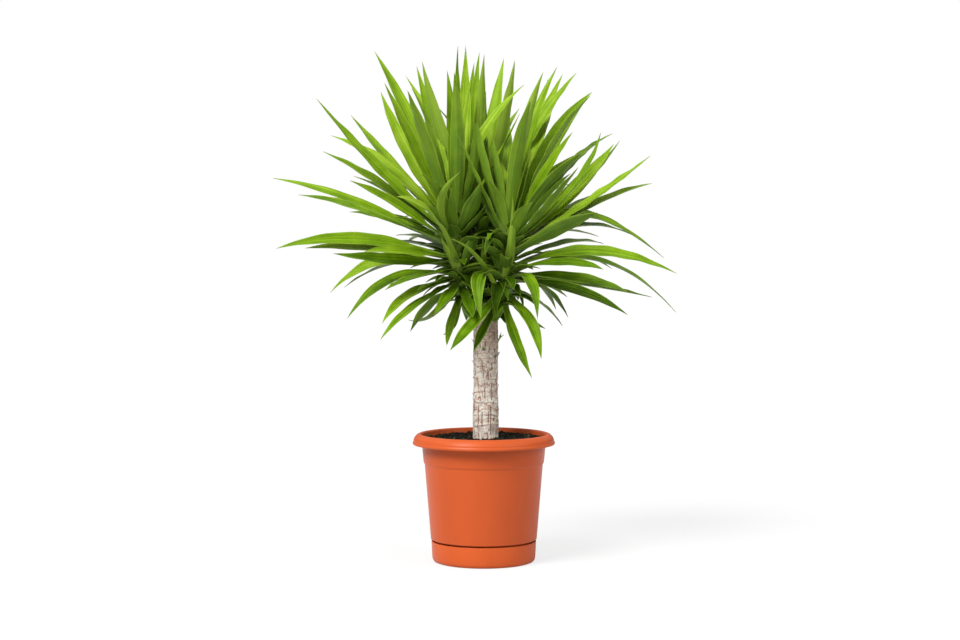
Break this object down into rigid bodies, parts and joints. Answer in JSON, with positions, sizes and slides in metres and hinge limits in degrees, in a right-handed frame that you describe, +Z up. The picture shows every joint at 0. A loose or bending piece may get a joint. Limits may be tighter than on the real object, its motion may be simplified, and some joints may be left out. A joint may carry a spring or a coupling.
{
  "type": "potted yucca",
  "caption": "Young yucca on a bare cane, its heads of sword-shaped leaves spreading over a round plastic pot that stands in a saucer.",
  "frame": {"origin": "centre of the saucer's flat underside, on the pot's axis", "axes": "+Z up along the pot's axis and the plant's height, +X to the right and -Y to the front as pictured"},
  "size_m": [0.8477, 0.6454, 1.0984],
  "materials": {
    "saucer_plastic": "satin moulded plastic, terracotta orange",
    "pot_plastic": "satin moulded plastic, terracotta orange",
    "soil": "dark damp potting soil",
    "bark": "dry corky bark with leaf scars",
    "leaf": "smooth waxy green leaf"
  },
  "bodies": {
    "root": {"saucer": "saucer_plastic", "pot": "pot_plastic", "soil": "soil", "cane": "bark", "head_left": "leaf", "head_right": "leaf", "head_back": "leaf"}
  },
  "joints": []
}
